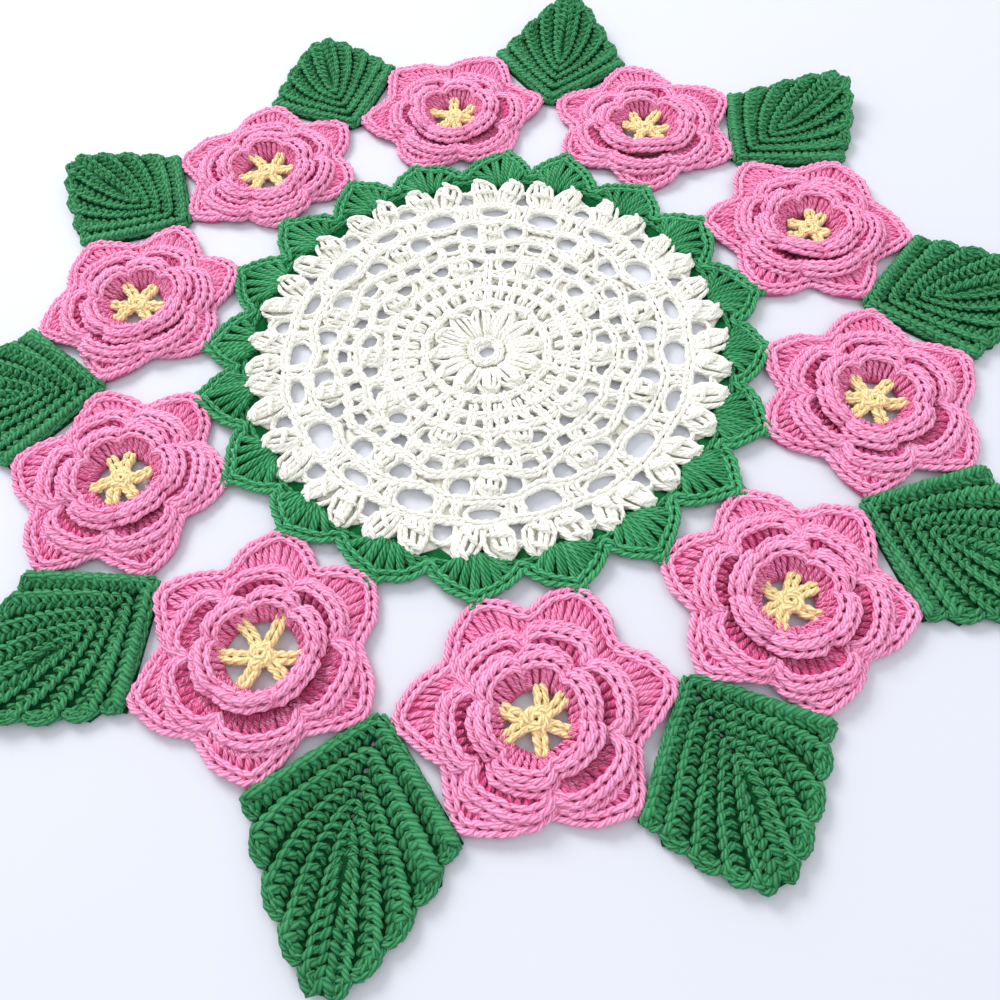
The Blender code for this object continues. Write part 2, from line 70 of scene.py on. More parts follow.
# Roses: middle, how far the tips of their petals are lifted, and the turn of the yellow star in them. eye is
# how much wider than usual the opening round the star is, star how far its arms reach, and ahead how far the
# star and the upper tiers lie from the middle along Y, so that a minus is towards the camera. Roses 4, 8 and 9
# are cut off at the star in the photo, so their eye and star are the usual ones.
ROSES = [
    dict(angle=92.7, radius=116.2, lift=4.0, turn=4, eye=-1.0, star=8.5, ahead=-3.8),
    dict(angle=57.2, radius=118.6, lift=4.0, turn=-5, eye=0.0, star=9.1, ahead=-2.8),
    dict(angle=20.8, radius=118.6, lift=2.0, turn=8, eye=-1.0, star=7.4, ahead=-2.4),
    dict(angle=-15.5, radius=117.2, lift=1.0, turn=-3, eye=0.0, star=9.1, ahead=-1.2),
    dict(angle=-51.3, radius=118.2, lift=1.0, turn=6, eye=-1.2, star=9.0, ahead=-2.2),
    dict(angle=-87.5, radius=118.2, lift=1.0, turn=-6, eye=0.0, star=9.1, ahead=-2.5),
    dict(angle=236.4, radius=116.6, lift=1.0, turn=2, eye=1.8, star=11.4, ahead=-0.6),
    dict(angle=199.4, radius=115.6, lift=1.0, turn=-8, eye=0.0, star=9.1, ahead=-1.2),
    dict(angle=164.4, radius=118.0, lift=2.0, turn=5, eye=0.0, star=9.1, ahead=-2.6),
    dict(angle=128.8, radius=119.2, lift=4.0, turn=0, eye=0.4, star=10.2, ahead=-3.4),
]

# Leaves: left is counter-clockwise, left and right are half widths, curl is how far the CAD lifts the tip, and
# kept is the share of that which the yarn keeps
LEAVES = [
    dict(angle=110.9, vertex=121.4, length=52, left=25.0, right=26.5, lean=-5.0, curl=6, kept=0.4),
    dict(angle=75.2, vertex=122.4, length=56, left=26.0, right=25.5, lean=1.0, curl=8, kept=1.0),
    dict(angle=39.2, vertex=122.0, length=57, left=26.0, right=27.5, lean=-1.0, curl=6, kept=1.0),
    dict(angle=2.6, vertex=121.4, length=54, left=26.5, right=27.0, lean=2.0, curl=3, kept=1.0),
    dict(angle=-33.4, vertex=121.0, length=56, left=27.5, right=26.5, lean=-2.0, curl=2, kept=1.0),
    dict(angle=-68.6, vertex=121.2, length=51, left=26.7, right=28.6, lean=-7.0, curl=1, kept=1.0),
    dict(angle=253.9, vertex=121.4, length=62, left=27.3, right=28.0, lean=5.0, curl=1, kept=1.0),
    dict(angle=217.6, vertex=120.6, length=55, left=27.0, right=27.0, lean=-1.0, curl=2, kept=1.0),
    dict(angle=182.0, vertex=121.0, length=55, left=26.5, right=27.0, lean=1.0, curl=3, kept=1.0),
    dict(angle=146.5, vertex=122.0, length=55, left=26.5, right=26.0, lean=-3.0, curl=4, kept=1.0),
]
CORNER_ALONG = 24.6  # from a leaf's inner corner to its widest place

# ---------------------------------------------------------------- yarn and stitches

YARN = 0.72  # radius of the strands that wrap a post, before they are thinned
SIDES = 5
PLIES = 4
PLY_PITCH = 1.9  # distance along a strand from one ply to the next
NEARLY_UP = (0.03, 0.05, 1.0)  # so that no strand runs along it
END_SHADE = 0.35  # painted shade added at a strand's ends, as though they lay in shade where they tuck under other yarn

chance = np.random.default_rng(SEED)


def unit(vectors):
    return vectors / np.linalg.norm(vectors, axis=-1, keepdims=True).clip(1e-9)


def around_circle(angles, radius=1.0, height=0.0):
    """Points at these angles in degrees round the origin."""
    angles, radius, height = np.broadcast_arrays(np.radians(angles), radius, height)
    return np.stack([radius * np.cos(angles), radius * np.sin(angles), height], -1)


def jitter(shape, amount):
    return chance.uniform(-amount, amount, shape)


def soften(values, reach):
    """Values round a ring, each averaged with its neighbours up to this many places away."""
    return np.mean([np.roll(values, shift) for shift in range(-reach, reach + 1)], axis=0)


def wobble(count, amount, reach=6):
    """A smooth uneven offset at each of this many places round a ring."""
    return soften(jitter(count, amount), reach) * math.sqrt(2 * reach + 1)


class Yarn:
    """Strands of yarn that become one piece. Each strand carries painted shade, an amount that turns it towards
    the yarn's darker shade colour.
    """

    def __init__(self):
        self.points, self.faces, self.places, self.painted_shades = [], [], [], []
        self.count = 0

    def lay(self, paths, radius, painted_shade, taper=0.5):
        """A strand along each path: paths is strands by points by xyz."""
        strands, steps, _ = paths.shape
        along = unit(np.gradient(paths, axis=1))
        side = np.empty_like(paths)
        side[:, 0] = unit(np.cross(along[:, 0], NEARLY_UP))
        for step in range(1, steps):
            carried = side[:, step - 1]
            square = (carried * along[:, step]).sum(-1, keepdims=True)
            side[:, step] = unit(carried - along[:, step] * square)
        up = np.cross(along, side)
        turn = 2 * np.pi * np.arange(SIDES) / SIDES
        ring = side[:, :, None] * np.cos(turn)[:, None] + up[:, :, None] * np.sin(turn)[:, None]
        ends = np.ones(steps)
        ends[[0, -1]] = taper
        radii = np.broadcast_to(np.asarray(radius, float), (strands, steps)) * ends
        self.points.append((paths[:, :, None] + ring * radii[:, :, None, None]).reshape(-1, 3))
        index = self.count + np.arange(strands * steps * SIDES).reshape(strands, steps, SIDES)
        near, far = index[:, :-1], index[:, 1:]
        quads = np.stack([near, np.roll(near, -1, 2), np.roll(far, -1, 2), far], -1)
        self.faces.append(quads.reshape(-1, 4))
        length = np.zeros((strands, steps))
        length[:, 1:] = np.linalg.norm(np.diff(paths, axis=1), axis=-1).cumsum(1)
        length = (length + chance.uniform(0, 50, (strands, 1)))[:, :, None] / PLY_PITCH
        first = np.broadcast_to(np.arange(SIDES) / SIDES, (strands, steps - 1, SIDES))
        second = first + 1 / SIDES
        start = np.broadcast_to(length[:, :-1], first.shape)
        end = np.broadcast_to(length[:, 1:], first.shape)
        corners = [(start, first), (start, second), (end, second), (end, first)]
        self.places.append(np.stack([np.stack(corner, -1) for corner in corners], -2).reshape(-1, 2))
        # painted shade at each point: the strand's own amount, and more at its ends
        shade_at_ends = np.zeros(steps)
        shade_at_ends[[0, -1]] = END_SHADE
        painted_shades = np.broadcast_to(np.asarray(painted_shade, float), (strands, steps)) + shade_at_ends
        self.painted_shades.append(np.repeat(painted_shades.ravel(), SIDES))
        self.count += strands * steps * SIDES

    def piece(self, name, material, slot):
        points = np.concatenate(self.points) + MIDDLE
        piece = new_piece(name, points, np.concatenate(self.faces), material)
        places = piece.data.uv_layers.new(name="strand")
        places.data.foreach_set("uv", np.concatenate(self.places).ravel())
        painted_shade = piece.data.attributes.new("painted_shade", "FLOAT", "POINT")
        painted_shade.data.foreach_set("value", np.concatenate(self.painted_shades))
        return piece


def new_object(name, data):
    thing = bpy.data.objects.new(name, data)
    bpy.context.scene.collection.objects.link(thing)
    return thing


def new_piece(name, points, faces, material):
    points = points.clip((-np.inf, -np.inf, 0.0))  # what lies on the floor is pressed flat
    mesh = bpy.data.meshes.new(name)
    mesh.from_pydata(points * METRES, [], faces)
    mesh.materials.append(material)
    mesh.shade_smooth()
    piece = new_object(name, mesh)
    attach(piece, "root")
    return piece


class Rail:
    """A line for stitches, with the directions across it and up from it, read by the distance along it."""

    def __init__(self, points, up=(0, 0, 1), closed=False):
        if closed:
            points = np.concatenate([points, points[:1]])
            up = np.concatenate([up, up[:1]]) if np.ndim(up) > 1 else up
        steps = np.diff(points, axis=0)
        self.distance = np.concatenate([[0], np.linalg.norm(steps, axis=1).cumsum()])
        self.length = self.distance[-1]
        self.period = self.length if closed else None
        along = np.gradient(points, axis=0)
        if closed:
            along[0] = along[-1] = steps[0] + steps[-1]
        along, up = unit(along), np.broadcast_to(up, points.shape)
        across = unit(np.cross(up, along))
        self.fields = points, across, np.cross(along, across)

    def at(self, distance, across=0.0, up=0.0):
        distance, across, up = np.broadcast_arrays(distance, across, up)
        place, side, normal = (
            np.stack([np.interp(distance, self.distance, line, period=self.period) for line in field.T], -1)
            for field in self.fields
        )
        return place + side * across[..., None] + normal * up[..., None]


# One limb of the V of a chain: along is in stitches, across in half widths and up in strand radii
LIMB = dict(
    along=np.array((-0.12, 0.16, 0.62, 1.12, 1.50)),
    across=np.array((0.06, 0.56, 0.60, 0.38, 0.04)),
    up=np.array((-0.9, 0.2, 0.8, 0.7, -0.4)),
)
# A puff: along is the share of the way from its foot to its head, swell is in half widths and crown in rises
PUFF = dict(
    along=np.array((0.0, 0.16, 0.40, 0.66, 0.87, 1.0)),
    swell=np.array((0.26, 0.68, 1.0, 0.96, 0.60, 0.16)),
    crown=np.array((-0.5, 0.45, 0.9, 1.0, 0.75, 0.2)),
)


def chain(yarn, rail, pitch, width, radius, lift=0.0, painted_shade=0.0):
    """A chain of V-shaped loops along a rail."""
    count = max(1, round(rail.length / pitch))
    pitch = rail.length / count
    begin = pitch * (np.arange(count) + jitter(count, 0.09))[:, None]
    for side in (-1, 1):
        size = 1 + jitter((count, 1), 0.10)
        across = side * width / 2 * LIMB["across"] * size
        up = (LIMB["up"] + jitter((count, 1), 0.25)) * radius + lift
        yarn.lay(rail.at(begin + LIMB["along"] * pitch, across, up), radius * size, painted_shade)


def puff(yarn, foot, head, width, rise, strands, radius, ties=()):
    """A bundle of long loops that swells between its foot and its head, with loops that slant across it."""
    foot, head = np.asarray(foot, float), np.asarray(head, float)
    across = unit(np.cross((0, 0, 1), head - foot)) * width / 2
    side = np.linspace(-1, 1, strands)[:, None]
    side = side + jitter(side.shape, 0.16)
    height = rise * PUFF["crown"] * (1 - 0.5 * side**2) + jitter(side.shape, 0.25)
    for tie in ties:
        reach = np.linspace(-0.8, 0.8, 5)
        half, top = (np.interp(tie, PUFF["along"], PUFF[key]) for key in ("swell", "crown"))
        path = foot + (head - foot) * (tie + reach * (0.12 + jitter((), 0.06)))[:, None]
        over = rise * top * (1 - 0.5 * reach**2) + radius * 1.1
        strand(yarn, path + across * (reach * half)[:, None] + np.array((0, 0, 1)) * over[:, None], radius)
    swell = PUFF["swell"] + jitter((strands, len(PUFF["swell"])), 0.08)
    paths = foot + (head - foot) * PUFF["along"][None, :, None] + across * (side * swell)[..., None]
    paths = paths + np.array((0, 0, 1)) * height[..., None]
    # painted shade: the outer strands of a puff are darker, most where it is narrow
    yarn.lay(paths, radius * (1 + jitter(side.shape, 0.1)), 0.3 * np.abs(side) * (1 - 0.5 * swell))


def strand(yarn, points, radius, painted_shade=0.0, taper=0.5):
    yarn.lay(np.asarray(points, float)[None], radius, painted_shade, taper)


class Surface:
    """A ring of crochet as a grid of points: the first index goes round it, the second from foot to edge."""

    def __init__(self, grid):
        self.grid = grid
        round_it = np.roll(grid, -1, 0) - np.roll(grid, 1, 0)
        self.normal = unit(np.cross(np.gradient(grid, axis=1), round_it))
        self.columns, self.rows = grid.shape[:2]

    def at(self, column, row, lift=0.0):
        """Points at these columns and shares of the way from foot to edge."""
        column, share, lift = np.broadcast_arrays(column, row, lift)
        row = np.clip(share, 0, 1) * (self.rows - 1)
        i, j = np.floor(column).astype(int), np.minimum(row.astype(int), self.rows - 2)
        u, v = (column - i)[..., None], (row - j)[..., None]
        i, after = i % self.columns, (i + 1) % self.columns
        place, normal = (
            (f[i, j] * (1 - u) + f[after, j] * u) * (1 - v)
            + (f[i, j + 1] * (1 - u) + f[after, j + 1] * u) * v
            for f in (self.grid, self.normal)
        )
        return place + normal * lift[..., None]

    def rail(self, share, lift=0.0):
        columns = np.arange(self.columns)
        points = self.at(columns, share, lift)
        return Rail(points, unit(self.at(columns, share, lift + 1.0) - points), closed=True)

    def even_columns(self, share, count):
        """The columns of this many points that lie evenly along the line at this share."""
        line = self.rail(share)
        places = np.linspace(0, line.length, count, endpoint=False)
        return np.interp(places, line.distance, np.arange(self.columns + 1))


POST_START = 0.03  # the share of the way up a surface where its posts start
POST_SHARES = np.array((0.0, 0.22, 0.48, 0.74, 1.0))
POST_LIFT = np.array((-0.3, 0.25, 0.35, 0.35, 0.0))
POST_WIDEST = 0.92  # radius
WRAP_SHARES = (0.34, 0.7)  # of the way up a post
WRAP_TURN = np.array((-0.5, 0.0, 0.5))
WRAP_LIFT = np.array((0.2, 1.6, 0.3))


def posts(yarn, surface, count, end, painted_shade):
    """Posts up a surface, which touch each other, each with the slanting loops that wrap it, all darkened by
    this much painted shade, the wraps on top by less.
    """
    spacing = surface.columns / count
    columns = surface.even_columns(0.6, count)[:, None] + jitter((count, 1), 0.16 * spacing)
    shares = POST_START + (end - POST_START) * POST_SHARES
    room = [surface.rail(share).length / count / 2 for share in shares]
    thick = np.clip(np.array(room) * 1.05, 0.5, POST_WIDEST) * (1 + jitter((count, 1), 0.12))
    lean = jitter((count, 1), 0.5 * spacing)
    lift = POST_LIFT * thick + jitter((count, 1), 0.18)
    yarn.lay(surface.at(columns + lean * (shares - 0.5), shares, lift), thick, painted_shade, taper=0.8)
    for wrap in WRAP_SHARES:
        middle = POST_START + (end - POST_START) * (wrap + jitter((count, 1), 0.08))
        across = columns + lean * (middle - 0.5) + WRAP_TURN * spacing
        lift = WRAP_LIFT * YARN + jitter((count, 1), 0.15)
        yarn.lay(surface.at(across, middle + WRAP_TURN * 0.26, lift), YARN * 0.8, painted_shade - 0.2)


def cloth(name, surfaces, lift, thickness, material):
    """A thin closed cloth under the stitches of these surfaces."""
    points, faces, count = [], [], 0
    for surface in surfaces:
        columns, rows = surface.columns, surface.rows
        for height in (lift, lift - thickness):
            points.append((surface.grid + surface.normal * height).reshape(-1, 3))
        index = count + np.arange(2 * columns * rows).reshape(2, columns, rows)
        after = np.roll(index, -1, 1)
        top = np.stack([index[0, :, :-1], index[0, :, 1:], after[0, :, 1:], after[0, :, :-1]], -1)
        under = np.stack([index[1, :, :-1], after[1, :, :-1], after[1, :, 1:], index[1, :, 1:]], -1)
        foot = np.stack([index[0, :, 0], after[0, :, 0], after[1, :, 0], index[1, :, 0]], -1)
        edge = np.stack([index[0, :, -1], index[1, :, -1], after[1, :, -1], after[0, :, -1]], -1)
        faces += [quads.reshape(-1, 4) for quads in (top, under, foot, edge)]
        count += 2 * columns * rows
    return new_piece(name, np.concatenate(points) + MIDDLE, np.concatenate(faces), material)


# ---------------------------------------------------------------- materials


def linear(red, green, blue):
    """A colour from 0 to 255, as on a screen, as the shader needs it."""
    return tuple(((c / 255 + 0.055) / 1.055) ** 2.4 for c in (red, green, blue)) + (1.0,)


def add_node(tree, kind, inputs=(), **settings):
    node = tree.nodes.new(kind)
    for key, value in settings.items():
        setattr(node, key, value)
    for key, value in dict(inputs).items():
        if isinstance(value, bpy.types.NodeSocket):
            tree.links.new(value, node.inputs[key])
        else:
            node.inputs[key].default_value = value
    return node


def maths(tree, operation, *values):
    return add_node(tree, "ShaderNodeMath", dict(enumerate(values)), operation=operation).outputs[0]


def new_material(name, roughness):
    material = bpy.data.materials.new(name)
    material.use_nodes = True
    tree = material.node_tree
    shader = tree.nodes["Principled BSDF"]
    shader.inputs["Roughness"].default_value = roughness
    shader.inputs["Specular IOR Level"].default_value = 0.12
    return material, tree, shader


def add_noise(tree, where, scale, detail):
    inputs = {"Vector": where, "Scale": scale, "Detail": detail}
    return add_node(tree, "ShaderNodeTexNoise", inputs).outputs[0]


def add_looks(tree, shader, share, light, painted_shade, height, strength, distance):
    """The shader's colour, from light to the darker painted shade colour by share, and its bumps, this distance
    high in metres.
    """
    colours = {0: share, 6: light, 7: painted_shade}
    mixed = add_node(tree, "ShaderNodeMix", colours, data_type="RGBA", clamp_factor=True)
    tree.links.new(mixed.outputs[2], shader.inputs["Base Color"])
    bump = add_node(tree, "ShaderNodeBump", {"Height": height, "Strength": strength, "Distance": distance})
    tree.links.new(bump.outputs[0], shader.inputs["Normal"])


DYE_SPREAD = 0.72  # how much the depth of a dye varies
FUZZ_HEIGHT = 0.4  # against a bump's whole height


def cotton(name, light, painted_shade, twist=0.9, groove_shade=0.65):
    """Plied cotton: twisted plies, fuzz, an uneven dye, and painted shade: a darker colour between the plies
    and wherever a strand carries painted shade.
    """
    material, tree, shader = new_material(name, 0.82)
    shader.inputs["Sheen Weight"].default_value = 0.04
    shader.inputs["Sheen Roughness"].default_value = 0.5
    place = add_node(tree, "ShaderNodeUVMap", uv_map="strand").outputs[0]
    split = add_node(tree, "ShaderNodeSeparateXYZ", {0: place}).outputs
    turn = maths(tree, "ADD", split[0], maths(tree, "MULTIPLY", split[1], PLIES))
    to_crown = maths(tree, "MULTIPLY", maths(tree, "PINGPONG", turn, 0.5), 2.0)
    hollow = maths(tree, "POWER", maths(tree, "SUBTRACT", 1.0, to_crown), 2.0)
    where = add_node(tree, "ShaderNodeTexCoord").outputs["Object"]
    fuzz, dye = add_noise(tree, where, 2600.0, 3.0), add_noise(tree, where, 110.0, 4.0)
    shade_amount = add_node(tree, "ShaderNodeAttribute", attribute_name="painted_shade").outputs["Fac"]
    dyed = maths(tree, "MULTIPLY", maths(tree, "SUBTRACT", dye, 0.5), DYE_SPREAD)
    # the share of the darker colour: painted shade from the strands and between the plies, plus the dye's
    # uneven tone
    share = maths(tree, "ADD", maths(tree, "ADD", shade_amount, maths(tree, "MULTIPLY", hollow, groove_shade)), dyed)
    raised, sunk = maths(tree, "MULTIPLY", fuzz, FUZZ_HEIGHT), maths(tree, "MULTIPLY", hollow, twist)
    height = maths(tree, "SUBTRACT", raised, sunk)
    add_looks(tree, shader, share, light, painted_shade, height, strength=1.0, distance=0.0003)
    return material


def cotton_cloth(name, colour, painted_shade):
    """The crochet between the stitches, knobbly, its colours painted shade between the stitches, darkest
    between its knobs.
    """
    material, tree, shader = new_material(name, 0.9)
    where = add_node(tree, "ShaderNodeTexCoord").outputs["Object"]
    inputs = {"Vector": where, "Scale": 620.0}
    knobs = add_node(tree, "ShaderNodeTexVoronoi", inputs, feature="SMOOTH_F1").outputs[0]
    add_looks(tree, shader, knobs, colour, painted_shade, knobs, strength=0.8, distance=-0.0005)
    return material


# Each yarn: its own colour, then the darker colour that painted shade turns it to. The cloths, all but the
# white one, are darker still: painted shade between the stitches.
PINK = cotton("pink yarn", linear(255, 172, 212), linear(228, 90, 148))
PINK_CLOTH = cotton_cloth("pink crochet", linear(226, 100, 152), linear(192, 62, 114))
GREEN = cotton("edging green yarn", linear(80, 172, 116), linear(4, 98, 46), groove_shade=0.75)
GREEN_CLOTH = cotton_cloth("edging green crochet", linear(12, 104, 52), linear(4, 72, 34))
LEAF_GREEN = cotton("leaf green yarn", linear(68, 150, 99), linear(3, 76, 34))
LEAF_CLOTH = cotton_cloth("leaf green crochet", linear(6, 76, 36), linear(2, 50, 22))
WHITE = cotton("white yarn", linear(253, 252, 243), linear(246, 242, 229), twist=0.8, groove_shade=0.5)
WHITE_CLOTH = cotton_cloth("white crochet", linear(252, 250, 241), linear(241, 236, 223))
YELLOW = cotton("yellow yarn", linear(252, 230, 172), linear(226, 182, 122), groove_shade=0.6)

# ---------------------------------------------------------------- roses

COLUMNS = 240
CLOTH_STEP = 2  # columns of a tier to one of the cloth under it
TIER_TURN = 9  # columns that a tier may be turned by
TIP_POINT = 1.0  # how far the tip of an outer petal stands out
# A tier's section, from foot to edge: radii and heights in the middle of a petal and in a valley between two
INNER_TIER = [
    dict(full=(7.7, 1.4), valley=(7.9, 1.4)),
    dict(full=(9.4, 2.2), valley=(9.0, 2.0)),
    dict(full=(11.0, 3.4), valley=(10.2, 2.7)),
    dict(full=(12.4, 4.7), valley=(11.2, 3.1)),
    dict(full=(13.8, 5.6), valley=(11.9, 3.2)),
    dict(full=(15.4, 5.7), valley=(12.4, 3.1)),
    dict(full=(16.5, 4.9), valley=(12.7, 2.7)),
]
MIDDLE_TIER = [
    dict(full=(13.0, 1.2), valley=(13.0, 1.2)),
    dict(full=(16.4, 1.3), valley=(14.4, 1.5)),
    dict(full=(18.2, 2.0), valley=(15.6, 1.9)),
    dict(full=(19.6, 3.1), valley=(16.6, 2.2)),
    dict(full=(21.2, 4.0), valley=(17.2, 2.3)),
    dict(full=(22.8, 4.0), valley=(17.8, 2.3)),
    dict(full=(23.8, 3.2), valley=(18.2, 2.1)),
]
OUTER_TIER_FOOT = 15.5
OUTER_TIER_HEIGHTS = (1.1, 1.4, 1.7, 1.9, 1.9, 1.6, 1.1)
PETAL_LIFT = (0.0, 0.15)  # share of a rose's lift at its petals nearest to the camera and furthest from it
# Of a tier: posts round it, the share of the way up it where they end, how much painted shade darkens them, as
# the shade that falls between the tiers, and where its rows of chain are
TIER_STITCHES = [
    dict(posts=44, end=0.60, painted_shade=0.45, chains=(0.69, 0.95)),
    dict(posts=60, end=0.66, painted_shade=0.75, chains=(0.75, 0.97)),
    dict(posts=88, end=0.86, painted_shade=0.35, chains=(0.90,)),
]
NOTCH = 2.0  # more gives the upper tiers narrower notches between their petals
PETALS = 6
# How unevenly the petals of the upper tiers are rolled, and how far out and down that takes their edges
ROLL, ROLL_OUT, ROLL_DOWN = 0.42, 4.0, 2.5
# Of a star: its arms, the heights along one of them, and the radius and height of the ring in its middle
STAR_ARMS = 6
STAR_HEIGHTS = np.array((1.5, 1.8, 1.9, 1.9, 1.9, 2.1, 2.5))
STAR_RING, STAR_RING_HEIGHT = 2.1, 2.3


def node_outline(node, middle, angles):
    """How far a CAD node reaches from the middle at each of these angles."""
    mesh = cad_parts[node].data
    points = np.array([vertex.co[:2] for vertex in mesh.vertices]) / METRES - MIDDLE[:2] - middle[:2]
    edges = np.array([edge.vertices for edge in mesh.edges])
    start, end = points[edges[:, 0]], points[edges[:, 1]]
    reach = []
    for direction in around_circle(angles)[:, :2]:
        off = [p[:, 0] * direction[1] - p[:, 1] * direction[0] for p in (start, end)]
        share = off[0] / np.where(off[0] == off[1], np.inf, off[0] - off[1])
        crossed = ((start + (end - start) * share[:, None]) @ direction)[(off[0] > 0) != (off[1] > 0)]
        reach.append(crossed.max())
    return np.array(reach)


def petals_of(reach):
    """Each column's petal and how full that petal is there, from 0 in a valley to 1 at the tip."""
    columns = np.arange(COLUMNS)
    window = COLUMNS // 12
    near = np.stack([np.roll(reach, shift) for shift in range(-window, window + 1)])
    tips = columns[reach >= near.max(0)]
    place = np.interp(columns, [tips[-1] - COLUMNS, *tips, tips[0] + COLUMNS], range(-1, len(tips) + 1))
    petal = np.round(place).astype(int) % len(tips)
    off = np.abs(place - np.round(place)) * 2
    return petal, 1 - off**2.6


def tier_surface(middle, angles, petal, full, rows, eye):
    """A tier of petals, each rolled outwards more or less than the others, and the tier turned a little."""
    turn = chance.integers(-TIER_TURN, TIER_TURN + 1)
    petal, full = np.roll(petal, turn), 1 - (1 - np.roll(full, turn)[:, None]) ** NOTCH
    inner, outer = (np.array([row[key] for row in rows]) for key in ("full", "valley"))
    radius, height = (outer[:, k] + (inner[:, k] - outer[:, k]) * full for k in (0, 1))
    share = np.linspace(0, 1, len(rows))
    rolled = soften(jitter(PETALS, ROLL)[petal % PETALS], 6)[:, None] * full * share
    radius = radius + eye * (1 - share) + rolled * ROLL_OUT + wobble(COLUMNS, 0.3)[:, None] * share
    height = height - rolled * ROLL_DOWN + wobble(COLUMNS, 0.2)[:, None] * share
    return Surface(middle + around_circle(angles[:, None], radius, height))


def add_rose(number):
    rose = ROSES[number]
    name = f"rose_{number + 1:02d}"
    middle = around_circle(rose["angle"], rose["radius"])
    angles = 360 * np.arange(COLUMNS) / COLUMNS
    reach = node_outline(name, middle, angles)
    petal, full = petals_of(reach)
    reach = soften(reach, 2) + TIP_POINT * full**14 + wobble(COLUMNS, 0.15, 4)
    heart = middle + np.array((0.0, rose["ahead"], 0.0))
    inner, second = (
        tier_surface(heart, angles, petal, full, rows, rose["eye"]) for rows in (INNER_TIER, MIDDLE_TIER)
    )
    share = np.linspace(0, 1, len(OUTER_TIER_HEIGHTS))
    radius = OUTER_TIER_FOOT + (reach[:, None] - OUTER_TIER_FOOT) * share
    lift = rose["lift"] * np.interp(np.sin(np.radians(angles)), (-1, 1), PETAL_LIFT)[:, None]
    height = np.array(OUTER_TIER_HEIGHTS) + lift * (full[:, None] * share) ** 2
    wave = np.sin(np.radians(angles * 7 + jitter((), 180)))[:, None] * 0.5 * share**2
    third = Surface(middle + around_circle(angles[:, None], radius, height + wave))
    yarn = Yarn()
    for surface, row in zip((inner, second, third), TIER_STITCHES):
        posts(yarn, surface, row["posts"], row["end"], row["painted_shade"])
        for place in row["chains"]:
            chain(yarn, surface.rail(place), pitch=3.0, width=4.0, radius=0.88, lift=0.3)
    for tip in np.flatnonzero(full == full.max()):
        foot, edge = third.at(tip, 0.9), third.at(tip, 1.0)
        puff(yarn, foot, edge + unit(edge - middle) * 0.5, width=2.8, rise=0.6, strands=3, radius=0.55)
    stitches = yarn.piece(f"{name}.yarn", PINK, "pink_cotton")
    coarse = [Surface(surface.grid[::CLOTH_STEP]) for surface in (inner, second, third)]
    base = cloth(f"{name}.cloth", coarse, -0.2, 0.8, PINK_CLOTH)
    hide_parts(name)
    star = add_star(number, heart)


def add_star(number, middle):
    """Chain loops round a small ring."""
    rose = ROSES[number]
    yarn = Yarn()
    steps = len(STAR_HEIGHTS)
    for arm in range(STAR_ARMS):
        angle = rose["angle"] + rose["turn"] + 360 / STAR_ARMS * arm + jitter((), 12)
        reach = rose["star"] + jitter((), 1.0)
        outwards, left = around_circle(angle), around_circle(angle + 90)
        along = np.linspace(0.6, reach, steps)[:, None]
        bow = jitter((), 1.2) * np.sin(np.linspace(0, np.pi, steps))[:, None]
        line = middle + outwards * along + left * bow + (0, 0, 1) * STAR_HEIGHTS[:, None]
        chain(yarn, Rail(line), pitch=3.0, width=3.7, radius=1.0)
    ring = middle + around_circle(np.linspace(0, 360, 24, endpoint=False), STAR_RING, STAR_RING_HEIGHT)
    chain(yarn, Rail(ring, closed=True), pitch=3.2, width=2.6, radius=1.0)
    star = yarn.piece(f"star_{number + 1:02d}.yarn", YELLOW, "yellow_cotton")
    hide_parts(f"star_{number + 1:02d}")
    return star


# ---------------------------------------------------------------- leaves

# Ribs, from the side of a leaf inwards. fold is a share of its length, beyond a share of the way from its
# corner to its tip, and across a share of its half width. round_off bends the arms.
RIBS = dict(
    fold=(0.050, 0.165, 0.265, 0.350, 0.430, 0.500),
    beyond=(0.05, 0.31, 0.59, 0.82, 0.98, 1.00),
    across=(0.93, 0.77, 0.55, 0.32, 0.10, 0.00),
    round_off=(0.05, 0.22, 0.42, 0.66, 0.85, 0.90),
)
# Rows of stitches of one rib, from its rope down into the valley beyond it. place is in ribs, start in mm from
# the fold, and slant is the turn of the stitches from the row. The lower a row lies, the more painted shade
# darkens it, the valley's row most.
RIB_ROWS = [
    dict(place=-0.30, height=2.5, length=3.4, slant=24, radius=0.90, painted_shade=0.0, start=0.0),
    dict(place=-0.06, height=1.9, length=2.8, slant=76, radius=1.04, painted_shade=0.15, start=0.2),
    dict(place=0.19, height=1.3, length=2.8, slant=-48, radius=1.0, painted_shade=0.35, start=0.8),
    dict(place=0.44, height=0.3, length=2.2, slant=10, radius=0.7, painted_shade=1.0, start=1.4),
]
RIB_ROOM = 6.0  # between two ribs whose stitches have these sizes
ARM_STEPS = 14
ARM_END = 1.4  # how far before the end of an arm its rows of stitches stop
# The turn at a rib's end: its places among the ribs, and how far they are from the ends of the arms there
LOBE = dict(places=(-0.44, -0.26, 0.0, 0.26, 0.44), setbacks=(2.0, 0.6, 0.0, 0.6, 2.0))
LEAF_EDGE = -0.46  # the place among the ribs of the chain along a leaf's sides
EDGE_HEIGHT = 1.3  # of that chain and of the lobes
FOLD_GAP = 0.75  # radius of the gap where a rib folds
GAP_PLACE = 0.46  # of that gap, in ribs beyond the fold
KNOT_PITCH = 2.6
END_GROWTH = 0.45  # how much larger the stitches of a row are at its end
CLOTH_SHARE = 0.45  # of its solid's height that the cloth under a leaf's or the medallion's yarn keeps


